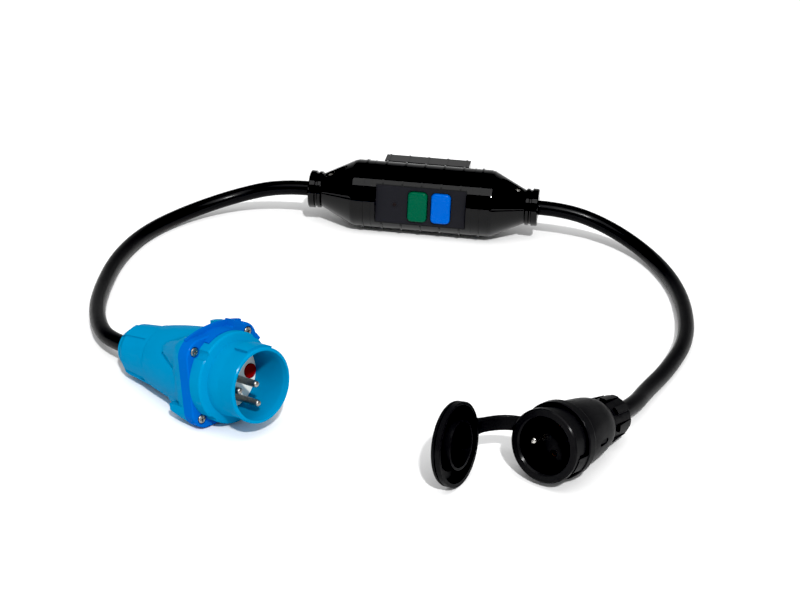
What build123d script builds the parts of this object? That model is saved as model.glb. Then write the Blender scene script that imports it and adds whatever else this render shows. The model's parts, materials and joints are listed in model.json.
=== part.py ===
from build123d import *
import os
from math import cos, pi, radians, sin, tan

os.makedirs("parts", exist_ok=True)

# An extension lead: an in-line residual current device, a cord each side of it, an industrial plug
# on the left cord and a household socket with a hinged lid on the right one. It lies on the floor,
# Z up, with the device's axis along X and its label towards -Y. Sizes are in millimetres.

# Cord
cord_radius = 6.35
core_radius = 1.8
core_circle = 3.2
core_gap = 1
fit = 0.1

# In-line device: barrel, tapers and collars
barrel_radius = 29.2
barrel_half = 58.5
barrel_step = 0.4
shoulder_x = 60.5
shoulder_round = 5
taper_end_x = 87.5
taper_end_radius = 15
collar_neck_x = 88.6
collar_neck_radius = 14.6
ridge_from_x = 89.3
ridge_to_x = 92
ridge_radius = 15.9
groove_from_x = 92.6
groove_to_x = 94
groove_radius = 14.9
collar_x = 94.6
collar_radius = 16.3
collar_edge = 0.8
device_half = 100
collar_bore = 12
collar_mouth = 9.5
collar_lip = 3
bush_inset = 1.5
wall = 2.5
device_roll = 3

# Ribs round the barrel
rib_pitch = 16.8
rib_width = 1.4
rib_height = 0.8
ring_x = 43.5
ring_width = 0.8
ring_height = 0.3

# Box behind the barrel, and the seam between the two shells
seam_depth = 11
box_depth = 30.1
box_half_length = 37
box_half_height = 27.8
box_edge = 1.2
box_rib = 0.5

# Label and buttons
flat_depth = 23.3
flat_half_length = 39.4
panel_length = 78
panel_height = 33.5
panel_thickness = 1
panel_corner = 1
panel_back = 20.3
panel_back_half = 41.5
button_width = 16.8
button_height = 26.8
button_corner = 4
button_gap = 0.35
button_round = 1.9
button_face = 26
button_up = -0.5
button_travel = 2.2
reset_x = -2.9
test_x = 17.3
lip_margin = 1.6
lip_thickness = 1.6
stem_radius = 1.6
stem_gap = 0.6
spring_wire = 0.4
spring_radius = 3.4
spring_turns = 3
lens_x = -22.8
lens_radius = 1.7
lens_flange = 2.6
bezel_radius = 2.9
bezel_height = 0.35

# Screws
screw_places = 30, 20
boss_radius = 4
housing_screw_radius = 1.5
housing_head_radius = 2.8
housing_head_height = 2.4
housing_head_depth = 7
housing_screw_length = 22

# Clamps that hold the cord's sheath inside the tapers
pocket_x = 77
pocket_length = 19
pocket_width = 7
pocket_back = -4.5
pocket_floor = 14.5
pocket_wall = 1.6
clamp_length = 12
clamp_half_width = 7
clamp_top = 10.2
clamp_bottom = 2.5
clamp_screw_spread = 8
clamp_screw_radius = 1.4
clamp_head_radius = 2.6
clamp_head_height = 2
clamp_screw_gap = 1.5
sheath_end_x = 64

# Works of the device
board_face = 11.6
board_thickness = 1.6
board_length = 84
board_height = 29
board_x = 2
chip_length = 7
chip_width = 4
chip_places = (-36, 6), (-36, -6), (36, 4), (36, -8)
toroid_x = -22
toroid_back = 4
toroid_outer = 12
toroid_bore = 7
toroid_length = 11
toroid_round = 1.5
relay_x = 22
relay_length = 30
relay_height = 24
relay_depth = 22
relay_back = 6
relay_cap = 2
terminal_x = 51
terminal_length = 11
terminal_height = 26
terminal_depth = 12
terminal_hole = 2.2
terminal_hole_depth = 4
lead_spread = 3.8

# Plug: stations run along its axis from the flange's front face, forward positive
plug_x = -96.6
plug_y = -374.0
plug_heading = 54.2
plug_tilt = 8.6
flange_half = 33
flange_thickness = 9.5
flange_corner = 13
flange_round = 1.2
plug_screw_place = 25.2
plug_head_radius = 3.2
plug_head_height = 1.6
plug_screw_radius = 2
plug_screw_length = 18
plug_head_sink = 1.2
plug_head_bore = 3.9
hood_radius = 34.3
hood_front = 5
hood_from = 66
hood_to = 118
latch_radius = 39.5
latch_from = 57
latch_to = 70
ridge_top = 37.2
ridge_half = 26
ridge_depth = 2.5
base_radius = 33.3
base_height = 10.5
base_round = 1.2
scallop_radius = 4.4
shoulder_radius = 27.4
shoulder_station = 12
shroud_radius = 26.3
rim_radius = 27.3
rim_back = 34
rim_front = 38.3
shroud_bore = 24.3
mouth_radius = 25
key_radius = 28.5
key_from = 57
key_to = 105
key_back = 22
key_front = 35.4
insulator_face = 6
insulator_back = -13
pin_radius = 2.5
pin_root_radius = 2.3
pin_tip = 34
pin_back = -24
pin_down = 14.5
pin_side = 15.6
disc_x = 18
disc_y = -1.4
disc_radius = 5.4
disc_height = 1.2
disc_edge = 0.4
disc_rim = 1.5
disc_root = 4
insulator_edge = 0.5
handle_back = -64
handle_neck_radius = 15
handle_neck_back = -88
plug_nut_back = -102.5
plug_nut_edge = -93
plug_nut_radius = 20.4
plug_nut_back_radius = 14.5
plug_nut_front_radius = 23.6
plug_nut_lip = 4
plug_nut_end = 4
grip_depth = 0.9
grip_from = 128
grip_span = 87
grips = 3
plug_seal_back = -100.5
plug_sheath_length = 16
neck_bore = 8
handle_cavity_station = -40
handle_cavity_radius = 26
cone_profile = (-64, 24), (-52, 26.3), (-36, 28.7), (-12, 30.9)
skirt_front = (-9.5, 33, 13), (-15.5, 32, 13), (-19.2, 30.4, 12)
skirt_back = (-24, 28.2, 10), (-39, 23.2, 8), (-46, 20, 8)
lug_radius = 37.8
lug_from = 60
lug_to = 85
lug_length = 4.5
foot_back = -25
foot_top = -16
foot_width = 8
foot_toe = -21
foot_heel = -27
gasket_radius = 28
gasket_half = 0.8
hook_outline = (31, 23), (33, 21.5), (36.2, 16.9), (33.5, 15), (31, 15)
casing_radius = 27
rim_round = 0.8
clamp_block = 8.5

# Socket: stations run along its axis from the rim, forward positive
socket_x = 133.7
socket_y = -427.7
socket_heading = -28.9
socket_tilt = 8.7
socket_rim_radius = 26.05
socket_rim_depth = 4.6
socket_front_radius = 24.7
socket_mouth_radius = 19.8
recess_depth = 15.5
insert_back = -36
band_radius = 27.4
band_front = -16
band_back = -24
rear_end_station = -70
socket_neck_radius = 11.4
socket_neck_back = -83
socket_nut_back = -95
socket_nut_radius = 15.2
socket_nut_edge = 2.5
socket_nut_end = 3.5
lobes = 8
lobe_radius = 18
lobe_back_radius = 15.4
socket_seal_back = -93
socket_skirt_radius = 22
socket_neck_bore = 7.6
rear_cavity_radius = 18
rear_profile = (-24.1, 23.8), (-32, 23.9), (-50, 22.3), (-60, 20.6), (-67, 17.6), (-70, 15)
slot_station = -43
slot_length = 12
slot_width = 4.5
slot_side = 21.8
pad_radius = 26.6
pad_from = -30
pad_to = -4
insert_face = 2.5
contact_slit = 1.2
contact_length = 14
contact_root = 3
band_round = 1
lobe_width = 5.4
lobe_length = 18
lobe_round = 1.2
socket_sheath_length = 14
contact_spread = 9.5
contact_bore = 2.6
contact_radius = 3.9
earth_side = -10
earth_radius = 2.4
earth_root_radius = 2.2
earth_tip = -2
socket_edge = 0.8
mouth_edge = 1.2

# Lid: stations run from its wall's edge, positive on its inner side
lid_overlap = 5
lid_radius = 29.4
lid_wall_radius = 26.7
lid_thickness = 7.4
lid_floor = -5.5
lid_round = 2.6
lid_groove = -4.2
lid_groove_width = 0.7
lid_groove_depth = 0.6
spigot_root = 19
spigot_tip = 17.6
spigot_wall = 2
spigot_proud = 1.5
hinge_x = 100.17
hinge_y = -396.96
hinge_z = 22.67
hinge_lean = -0.043, 0.21, 0.977
lid_swing = 83
strap_thickness = 2.2
strap_height = 10
strap_z = 28.8
strap_lid_end = 87, -406.3
strap_middle = 102.8, -400.9
strap_band_end = 120.5, -398.6

# Both cords' routes, chosen by hand: each lies on the floor from about its third point on
left_route = [
    (-100, -0.8, 30),
    (-126, -0.8, 30),
    (-164, -3, 19),
    (-203, -26, 9),
    (-230, -72, 6.5),
    (-239.5, -128, 6.5),
    (-237, -185, 7),
    (-229, -236, 10),
    (-213.3, -280.5, 13.4),
]
right_route = [
    (100, -0.8, 30),
    (124, -0.8, 30),
    (160, -3, 19.5),
    (195, -28, 9),
    (219, -78, 6.5),
    (230, -136, 6.5),
    (230.5, -193, 6.5),
    (217, -245, 6.5),
    (201, -289, 9),
]
left_last_run = 24
right_last_run = 30


# Frames
def connector_frame(x, y, z, heading, tilt):
    """Z along the connector's axis towards its mouth, X to its side and Y up."""
    turn = radians(heading)
    nose = radians(tilt)
    forward = (sin(turn) * cos(nose), -cos(turn) * cos(nose), sin(nose))
    return Plane(origin=(x, y, z), x_dir=(cos(turn), sin(turn), 0), z_dir=forward)


def lengthwise(frame):
    """The plane along a frame's axis: X is the station and Y the radius."""
    return Plane(origin=frame.origin, x_dir=frame.z_dir, z_dir=frame.z_dir.cross(frame.y_dir))


def axis_of(frame):
    return Axis(frame.origin, frame.z_dir)


def swung(frame, hinge, angle):
    """The frame turned about a hinge by an angle in degrees."""
    arm = (frame.origin - hinge.position).rotate(hinge, angle)
    return Plane(
        origin=hinge.position + arm,
        x_dir=frame.x_dir.rotate(hinge, angle),
        z_dir=frame.z_dir.rotate(hinge, angle),
    )


# The barrel stands on its ribs, and its depth is centred between its front and the box behind it.
roll = radians(device_roll)
axis_z = barrel_radius + rib_height
front_reach = barrel_radius + rib_height
back_reach = box_depth * cos(roll) + (box_half_height + box_rib) * sin(roll)
axis_y = (front_reach - back_reach) / 2
device_centre = Vector(0, axis_y, axis_z)
front_dir = Vector(0, -cos(roll), sin(roll))
up_dir = Vector(0, sin(roll), cos(roll))
device_front = Plane(origin=device_centre, x_dir=(1, 0, 0), z_dir=front_dir)
device_rear = Plane(origin=device_centre, x_dir=(1, 0, 0), z_dir=-front_dir)
device_top = Plane(origin=device_centre, x_dir=(1, 0, 0), z_dir=up_dir)
device_end = Plane(origin=device_centre, x_dir=-front_dir, z_dir=(1, 0, 0))
device_axis = Axis(device_centre, (1, 0, 0))

# The plug lies on its flange's rear edge, the socket on its band's rear edge.
plug_nose = radians(plug_tilt)
plug_z = flange_half * cos(plug_nose) + flange_thickness * sin(plug_nose)
plug = connector_frame(plug_x, plug_y, plug_z, plug_heading, plug_tilt)
socket_nose = radians(socket_tilt)
socket_z = band_radius * cos(socket_nose) - band_back * sin(socket_nose)
socket = connector_frame(socket_x, socket_y, socket_z, socket_heading, socket_tilt)

# The lid is set out closed on the socket's rim, then swung open about its strap's bend.
lid_closed = Plane(
    origin=socket.offset(-lid_overlap).origin, x_dir=-socket.x_dir, z_dir=-socket.z_dir
)
lid_hinge = Axis((hinge_x, hinge_y, hinge_z), hinge_lean)
lid_frame = swung(lid_closed, lid_hinge, -lid_swing)


def finish(piece, name):
    piece.part.label = name
    export_step(piece.part, f"parts/{name}.step")


def rod(start, end, radius):
    """A round bar from one point to another."""
    run = Vector(*end) - Vector(*start)
    with BuildPart() as bar:
        with BuildSketch(Plane(origin=start, z_dir=run)):
            Circle(radius)
        extrude(amount=run.length)
    return bar.part


def turned(frame, outline):
    """A solid of revolution from (station, radius) points along a frame's axis."""
    with BuildPart() as solid:
        with BuildSketch(lengthwise(frame)):
            with BuildLine():
                Polyline(*outline, close=True)
            make_face()
        revolve(axis=axis_of(frame))
    return solid.part


def ring_sector(inner, outer, start, end):
    """A face between two radii and two angles in degrees."""
    with BuildSketch(Plane.XY) as sector:
        with BuildLine():
            outer_arc = CenterArc((0, 0), outer, start, end - start)
            inner_arc = CenterArc((0, 0), inner, start, end - start)
            Line(outer_arc @ 0, inner_arc @ 0)
            Line(outer_arc @ 1, inner_arc @ 1)
        make_face()
    return sector.sketch


def cross_screws(seat, places, head_radius, head_height, shank_radius, length):
    """A group of cross-head screws, their heads standing on the seat plane."""
    recess = head_radius * 1.3
    with BuildPart() as group:
        with BuildSketch(seat):
            with Locations(*places):
                Circle(head_radius)
        extrude(amount=head_height)
        fillet(group.edges().group_by(axis_of(seat))[-1], head_height * 0.55)
        with BuildSketch(seat):
            with Locations(*places):
                Circle(shank_radius)
        extrude(amount=-length)
        with BuildSketch(seat.offset(head_height)):
            with Locations(*places):
                Rectangle(recess, recess / 4)
                Rectangle(recess / 4, recess)
        extrude(amount=-head_height * 0.7, mode=Mode.SUBTRACT)
    return group


# In-line device
pocket_places = [(-pocket_x, pocket_back), (pocket_x, pocket_back)]
lip_top = panel_back - fit
lip_bottom = lip_top - lip_thickness


def barrel():
    """The ribbed barrel with its tapers and ridged collars, as one solid."""
    with BuildPart() as body:
        with BuildSketch(device_top) as half:
            with BuildLine():
                Polyline(
                    (0, 0),
                    (0, barrel_radius),
                    (barrel_half, barrel_radius),
                    (barrel_half, barrel_radius - barrel_step),
                    (shoulder_x, barrel_radius - barrel_step),
                    (taper_end_x, taper_end_radius),
                    (collar_neck_x, collar_neck_radius),
                    (ridge_from_x, ridge_radius),
                    (ridge_to_x, ridge_radius),
                    (groove_from_x, groove_radius),
                    (groove_to_x, groove_radius),
                    (collar_x, collar_radius),
                    (device_half - collar_edge, collar_radius),
                    (device_half, collar_radius - collar_edge),
                    (device_half, 0),
                    close=True,
                )
            make_face()
            corner = half.vertices().filter_by_position(Axis.X, shoulder_x - 0.1, shoulder_x + 0.1)
            fillet(corner, shoulder_round)
            mirror(about=Plane.YZ)
        revolve(axis=device_axis)
        with BuildSketch(*[device_end.offset(n * rib_pitch - rib_width / 2) for n in range(-3, 4)]):
            Circle(barrel_radius + rib_height)
        extrude(amount=rib_width)
        with BuildSketch(*[device_end.offset(side * ring_x - ring_width / 2) for side in (-1, 1)]):
            Circle(barrel_radius + ring_height)
        extrude(amount=ring_width)
        with BuildSketch(device_front.offset(flat_depth)):
            Rectangle(2 * flat_half_length, 2 * barrel_radius)
        extrude(amount=barrel_radius, mode=Mode.SUBTRACT)
    return body.part


def barrel_cavity():
    """The space inside the barrel, kept clear of the label's backing and the clamp pockets."""
    inner_end = taper_end_x - wall
    with BuildPart() as space:
        with BuildSketch(device_top):
            with BuildLine():
                Polyline(
                    (0, 0),
                    (0, barrel_radius - wall),
                    (barrel_half - wall / 2, barrel_radius - wall),
                    (inner_end, collar_bore),
                    (device_half - collar_lip, collar_bore),
                    (device_half - collar_lip, collar_mouth),
                    (device_half, collar_mouth),
                    (device_half, 0),
                    close=True,
                )
            make_face()
            mirror(about=Plane.YZ)
        revolve(axis=device_axis)
        with BuildSketch(device_front.offset(panel_back)):
            Rectangle(2 * panel_back_half, 2 * barrel_radius)
        extrude(amount=barrel_radius, mode=Mode.SUBTRACT)
        with BuildSketch(device_top.offset(pocket_floor - pocket_wall)):
            with Locations(*pocket_places):
                SlotOverall(pocket_length + 2 * pocket_wall, pocket_width + 2 * pocket_wall)
        extrude(amount=barrel_radius, mode=Mode.SUBTRACT)
    return space.part


def button_outline(x, grow):
    """A button's rounded outline, grown by a margin all round."""
    with Locations((x, button_up)):
        RectangleRounded(button_width + 2 * grow, button_height + 2 * grow, button_corner + grow)


barrel_solid = barrel()
cavity_solid = barrel_cavity()

with BuildPart() as front_shell:
    add(barrel_solid)
    split(bisect_by=device_front.offset(-seam_depth), keep=Keep.TOP)
    add(cavity_solid, mode=Mode.SUBTRACT)
    with BuildSketch(device_front.offset(flat_depth)):
        RectangleRounded(panel_length + 2 * fit, panel_height + 2 * fit, panel_corner)
    extrude(amount=-panel_thickness, mode=Mode.SUBTRACT)
    with BuildSketch(device_front.offset(flat_depth)):
        button_outline(reset_x, button_gap)
        button_outline(test_x, button_gap)
        with Locations((lens_x, 0)):
            Circle(lens_radius + fit)
    extrude(amount=-(flat_depth - panel_back) - wall, mode=Mode.SUBTRACT)
    with BuildSketch(device_rear.offset(seam_depth)):
        with GridLocations(2 * screw_places[0], 2 * screw_places[1], 2, 2):
            Circle(boss_radius)
    extrude(until=Until.NEXT, dir=front_dir)
    with BuildSketch(device_rear.offset(seam_depth)):
        with GridLocations(2 * screw_places[0], 2 * screw_places[1], 2, 2):
            Circle(housing_screw_radius + fit)
    extrude(amount=-(housing_screw_length - box_depth + housing_head_depth + seam_depth) - 2,
            mode=Mode.SUBTRACT)
    with BuildSketch(device_top.offset(pocket_floor)):
        with Locations(*pocket_places):
            SlotOverall(pocket_length, pocket_width)
    extrude(amount=barrel_radius, mode=Mode.SUBTRACT)
    with BuildSketch(device_top.offset(pocket_floor)):
        with Locations(*pocket_places):
            with GridLocations(clamp_screw_spread, 0, 2, 1):
                Circle(clamp_screw_radius + fit)
    extrude(amount=clamp_top - pocket_floor, mode=Mode.SUBTRACT)
finish(front_shell, "front_shell")

with BuildPart() as rear_shell:
    add(barrel_solid)
    split(bisect_by=device_front.offset(-seam_depth), keep=Keep.BOTTOM)
    with BuildSketch(device_rear.offset(seam_depth)):
        Rectangle(2 * box_half_length, 2 * box_half_height)
    extrude(amount=box_depth - seam_depth)
    back_face = rear_shell.faces().sort_by(axis_of(device_rear))[-1]
    chamfer(back_face.edges().filter_by(Axis.X), box_edge)
    with BuildSketch(device_rear.offset(seam_depth)):
        with GridLocations(rib_pitch, 0, 5, 1):
            Rectangle(rib_width, 2 * (box_half_height + box_rib))
    extrude(amount=box_depth - seam_depth - box_edge)
    add(cavity_solid, mode=Mode.SUBTRACT)
    with BuildSketch(device_rear.offset(seam_depth)):
        Rectangle(2 * (box_half_length - wall), 2 * (box_half_height - wall))
    extrude(amount=box_depth - seam_depth - wall, mode=Mode.SUBTRACT)
    with BuildSketch(device_rear.offset(seam_depth)):
        with GridLocations(2 * screw_places[0], 2 * screw_places[1], 2, 2):
            Circle(boss_radius)
    extrude(amount=box_depth - seam_depth)
    with BuildSketch(device_rear.offset(box_depth)):
        with GridLocations(2 * screw_places[0], 2 * screw_places[1], 2, 2):
            Circle(housing_head_radius + fit)
    extrude(amount=-housing_head_depth, mode=Mode.SUBTRACT)
    with BuildSketch(device_rear.offset(seam_depth)):
        with GridLocations(2 * screw_places[0], 2 * screw_places[1], 2, 2):
            Circle(housing_screw_radius + fit)
    extrude(amount=box_depth - seam_depth, mode=Mode.SUBTRACT)
finish(rear_shell, "rear_shell")

with BuildPart() as label_panel:
    with BuildSketch(device_front.offset(flat_depth)):
        RectangleRounded(panel_length, panel_height, panel_corner)
        with Locations((reset_x, button_up), (test_x, button_up)):
            RectangleRounded(
                button_width + 2 * button_gap,
                button_height + 2 * button_gap,
                button_corner + button_gap,
                mode=Mode.SUBTRACT,
            )
        with Locations((lens_x, 0)):
            Circle(lens_radius + fit, mode=Mode.SUBTRACT)
    extrude(amount=-panel_thickness)
    with BuildSketch(device_front.offset(flat_depth)):
        with Locations((lens_x, 0)):
            Circle(bezel_radius)
            Circle(lens_radius + fit, mode=Mode.SUBTRACT)
    extrude(amount=bezel_height)
finish(label_panel, "label_panel")

for button_name, button_x in (("reset", reset_x), ("test", test_x)):
    with BuildPart() as push_button:
        with BuildSketch(device_front.offset(lip_bottom)):
            button_outline(button_x, lip_margin)
        extrude(amount=lip_thickness)
        with BuildSketch(device_front.offset(lip_top)):
            button_outline(button_x, 0)
        extrude(amount=button_face - lip_top)
        fillet(push_button.edges().group_by(axis_of(device_front))[-1], button_round)
        with BuildSketch(device_front.offset(lip_bottom)):
            with Locations((button_x, button_up)):
                Circle(stem_radius)
        extrude(amount=-(lip_bottom - board_face - button_travel - stem_gap))
    finish(push_button, f"{button_name}_button")
    with BuildPart() as spring:
        spring_gap = lip_bottom - board_face - 2 * spring_wire - 2 * fit
        foot = device_front.offset(board_face + spring_wire + fit)
        spring_foot = foot.from_local_coords((button_x, button_up, 0))
        with BuildLine() as coil:
            Helix(spring_gap / spring_turns, spring_gap, spring_radius, spring_foot, front_dir)
        with BuildSketch(Plane(origin=coil.line @ 0, z_dir=coil.line % 0)):
            Circle(spring_wire)
        sweep(is_frenet=True)
    finish(spring, f"{button_name}_spring")

with BuildPart() as lens:
    with BuildSketch(device_front.offset(panel_back - fit)):
        with Locations((lens_x, 0)):
            Circle(lens_flange)
    extrude(amount=-lip_thickness)
    with BuildSketch(device_front.offset(panel_back - fit)):
        with Locations((lens_x, 0)):
            Circle(lens_radius)
    extrude(amount=flat_depth - panel_back + fit)
finish(lens, "indicator_lens")

with BuildPart() as board:
    with BuildSketch(device_front.offset(board_face - board_thickness)):
        with Locations((board_x, 0)):
            Rectangle(board_length, board_height)
    extrude(amount=board_thickness)
    with BuildSketch(device_front.offset(board_face)):
        with Locations((reset_x, button_up), (test_x, button_up)):
            Circle(stem_radius)
        with Locations(*chip_places):
            Rectangle(chip_length, chip_width)
        with Locations((lens_x, 0)):
            Circle(lens_radius)
    extrude(amount=stem_gap / 2)
    with BuildSketch(device_front.offset(board_face)):
        with Locations((lens_x, 0)):
            Circle(lens_radius)
    extrude(amount=panel_back - lip_thickness - 2 * fit - board_face)
finish(board, "circuit_board")

toroid_frame = Plane(
    origin=device_end.from_local_coords((toroid_back, 0, toroid_x - toroid_length / 2)),
    x_dir=device_end.x_dir,
    z_dir=device_end.z_dir,
)
with BuildPart() as toroid:
    with BuildSketch(toroid_frame):
        Circle(toroid_outer)
        Circle(toroid_bore, mode=Mode.SUBTRACT)
    extrude(amount=toroid_length)
    fillet(toroid.edges().filter_by(GeomType.CIRCLE), toroid_round)
finish(toroid, "sensing_toroid")

with BuildPart() as relay:
    with BuildSketch(device_rear.offset(relay_back - relay_depth / 2)):
        with Locations((relay_x, 0)):
            RectangleRounded(relay_length, relay_height, 1)
    extrude(amount=relay_depth)
    with BuildSketch(device_rear.offset(relay_back + relay_depth / 2)):
        with Locations((relay_x, 0)):
            Rectangle(relay_length / 2, relay_height / 2)
    extrude(amount=relay_cap)
finish(relay, "trip_relay")

for side, side_name in ((-1, "left"), (1, "right")):
    with BuildPart() as terminals:
        with BuildSketch(device_rear.offset(toroid_back - terminal_depth / 2)):
            with Locations((side * terminal_x, 0)):
                Rectangle(terminal_length, terminal_height)
        extrude(amount=terminal_depth)
        with BuildSketch(device_rear.offset(toroid_back + terminal_depth / 2)):
            with Locations((side * terminal_x, 0)):
                with GridLocations(0, terminal_height / 3, 1, 3):
                    Circle(terminal_hole)
        extrude(amount=-terminal_hole_depth, mode=Mode.SUBTRACT)
    finish(terminals, f"{side_name}_terminal_block")

    outwards = Plane(origin=device_centre, x_dir=side * device_end.x_dir, z_dir=(side, 0, 0))
    with BuildPart() as bush:
        add(turned(outwards, [
            (taper_end_x - bush_inset, 0),
            (taper_end_x - bush_inset, collar_bore - fit),
            (device_half - collar_lip - fit, collar_bore - fit),
            (device_half - collar_lip - fit, collar_mouth - fit),
            (device_half, collar_mouth - fit),
            (device_half, 0),
        ]))
    finish(bush, f"{side_name}_cord_bush")

    with BuildPart() as clamp:
        with BuildSketch(device_top.offset(clamp_bottom)):
            with Locations((side * pocket_x, 0)):
                Rectangle(clamp_length, 2 * clamp_half_width)
        extrude(amount=clamp_top - clamp_bottom)
        with BuildSketch(outwards):
            Circle(cord_radius + fit)
        extrude(amount=device_half, mode=Mode.SUBTRACT)
        with BuildSketch(device_top.offset(clamp_top)):
            with Locations((side * pocket_x, pocket_back)):
                with GridLocations(clamp_screw_spread, 0, 2, 1):
                    Circle(clamp_screw_radius + fit)
        extrude(amount=-(clamp_top - clamp_bottom), mode=Mode.SUBTRACT)
    finish(clamp, f"{side_name}_cord_clamp")

    half_spread = clamp_screw_spread / 2
    clamp_places = [(side * pocket_x + step, pocket_back) for step in (-half_spread, half_spread)]
    clamp_screws = cross_screws(
        device_top.offset(pocket_floor),
        clamp_places,
        clamp_head_radius,
        clamp_head_height,
        clamp_screw_radius,
        pocket_floor - cord_radius - clamp_screw_gap,
    )
    finish(clamp_screws, f"{side_name}_clamp_screws")

    terminal_face = terminal_x + terminal_length / 2
    with BuildPart() as tail:
        with BuildSketch(outwards.offset(sheath_end_x)):
            Circle(cord_radius)
        extrude(amount=taper_end_x - bush_inset - sheath_end_x)
        for lift in (-lead_spread, 0, lead_spread):
            start = device_end.from_local_coords((toroid_back / 2, lift, side * terminal_face))
            end = device_end.from_local_coords((toroid_back / 2, lift, side * sheath_end_x))
            add(rod(start, end, core_radius - fit))
    finish(tail, f"{side_name}_cord_tail")

seat_depth = box_depth - housing_head_depth
with BuildPart() as inner_leads:
    for x_from, x_to, back, lift in (
        (-terminal_x + terminal_length / 2, relay_x - relay_length / 2, toroid_back, lead_spread),
        (-terminal_x + terminal_length / 2, relay_x - relay_length / 2, toroid_back, -lead_spread),
        (relay_x + relay_length / 2, terminal_x - terminal_length / 2, toroid_back, lead_spread),
        (relay_x + relay_length / 2, terminal_x - terminal_length / 2, toroid_back, -lead_spread),
    ):
        start = device_end.from_local_coords((back, lift, x_from))
        end = device_end.from_local_coords((back, lift, x_to))
        add(rod(start, end, core_radius))
finish(inner_leads, "inner_leads")

housing_places = [
    (x, up)
    for x in (-screw_places[0], screw_places[0])
    for up in (-screw_places[1], screw_places[1])
]
housing_screws = cross_screws(
    device_rear.offset(seat_depth),
    housing_places,
    housing_head_radius,
    housing_head_height,
    housing_screw_radius,
    housing_screw_length,
)
finish(housing_screws, "housing_screws")


# Plug
corner_places = [
    (x, y) for x in (-plug_screw_place, plug_screw_place) for y in (-plug_screw_place, plug_screw_place)
]
pin_places = {"earth": (0, -pin_down), "line": (0, 0), "neutral": (-pin_side, 0)}

# The nut's sides are sunk between raised ribs, for a hand's or a strap wrench's grip.
with BuildPart() as grip_panels:
    with BuildSketch(plug.offset(handle_back - plug_nut_lip)):
        for grip in range(grips):
            start = grip_from + 360 * grip / grips
            add(ring_sector(handle_neck_radius, 2 * plug_nut_radius, start, start + grip_span))
    extrude(amount=plug_nut_back - handle_back + plug_nut_lip)
    add(turned(plug, [
        (handle_back, 0),
        (handle_back, plug_nut_front_radius - grip_depth),
        (plug_nut_edge, plug_nut_radius - grip_depth),
        (plug_nut_back, plug_nut_back_radius - grip_depth),
        (plug_nut_back, 0),
    ]), mode=Mode.SUBTRACT)

with BuildPart() as plug_nut:
    add(turned(plug, [
        (handle_back, handle_neck_radius + fit),
        (handle_back, plug_nut_front_radius),
        (plug_nut_edge, plug_nut_radius),
        (plug_nut_back, plug_nut_back_radius),
        (plug_nut_back, cord_radius + 5 * fit),
        (plug_nut_back + plug_nut_end, cord_radius + 5 * fit),
        (plug_nut_back + plug_nut_end, handle_neck_radius + fit),
    ]))
    add(grip_panels.part, mode=Mode.SUBTRACT)
finish(plug_nut, "plug_gland_nut")

with BuildPart() as plug_seal:
    add(turned(plug, [
        (handle_neck_back - fit, 0),
        (handle_neck_back - fit, handle_neck_radius - fit),
        (plug_nut_back + plug_nut_end + fit, handle_neck_radius - fit),
        (plug_nut_back + plug_nut_end + fit, cord_radius + 3 * fit),
        (plug_seal_back, cord_radius + 3 * fit),
        (plug_seal_back, 0),
    ]))
finish(plug_seal, "plug_cord_seal")

# The lower corners of the handle's skirt run back as two feet with a slanting underside.
with BuildPart() as feet:
    with BuildSketch(plug.offset(-flange_thickness)):
        RectangleRounded(2 * flange_half, 2 * flange_half, flange_corner)
        Rectangle(2 * (flange_half - foot_width), 2 * flange_half, mode=Mode.SUBTRACT)
        with Locations((0, flange_half + foot_top)):
            Rectangle(2 * flange_half, 2 * flange_half, mode=Mode.SUBTRACT)
    extrude(amount=foot_back + flange_thickness)
    with BuildSketch(lengthwise(plug)):
        with BuildLine():
            Polyline(
                (-flange_thickness, foot_heel),
                (foot_back, foot_toe),
                (foot_back, -flange_half),
                (-flange_thickness, -flange_half),
                close=True,
            )
        make_face()
    extrude(amount=flange_half, both=True, mode=Mode.SUBTRACT)

# The handle is a round cone that swells out of a square skirt. The skirt's corners run back over the
# cone as bosses for the flange's screws, so that each side has a curved edge between the two.
with BuildPart() as handle:
    with BuildSketch(lengthwise(plug)):
        with BuildLine():
            cone = Spline(*cone_profile)
            Polyline(cone @ 1, (-flange_thickness, 0), (handle_back, 0), cone @ 0)
        make_face()
    revolve(axis=axis_of(plug))
    for station, half, corner in (*skirt_front, *skirt_back):
        with BuildSketch(plug.offset(station)):
            RectangleRounded(2 * half, 2 * half, corner)
    loft(ruled=True)
    add(feet.part)
    with BuildSketch(plug.offset(-flange_thickness)):
        add(ring_sector(gasket_radius, lug_radius, lug_from, lug_to))
    extrude(amount=-lug_length)
    with BuildSketch(plug.offset(handle_neck_back)):
        Circle(handle_neck_radius)
    extrude(amount=handle_back - handle_neck_back)
    add(turned(plug, [
        (handle_neck_back, 0),
        (handle_neck_back, neck_bore),
        (handle_back + plug_nut_lip, neck_bore),
        (handle_cavity_station, handle_cavity_radius - wall),
        (-flange_thickness, handle_cavity_radius),
        (-flange_thickness, 0),
    ]), mode=Mode.SUBTRACT)
    with BuildSketch(plug.offset(-flange_thickness)):
        with Locations(*corner_places):
            Circle(plug_screw_radius + fit)
    extrude(amount=flange_thickness - plug_head_sink - plug_screw_length, mode=Mode.SUBTRACT)
    with BuildSketch(plug.offset(-flange_thickness)):
        Circle(gasket_radius + gasket_half + fit)
        Circle(gasket_radius - gasket_half - fit, mode=Mode.SUBTRACT)
    extrude(amount=-2 * gasket_half, mode=Mode.SUBTRACT)
finish(handle, "plug_handle")

with BuildPart() as gasket:
    with BuildSketch(plug.offset(-flange_thickness)):
        Circle(gasket_radius + gasket_half)
        Circle(gasket_radius - gasket_half, mode=Mode.SUBTRACT)
    extrude(amount=-2 * gasket_half)
finish(gasket, "plug_gasket")

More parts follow.
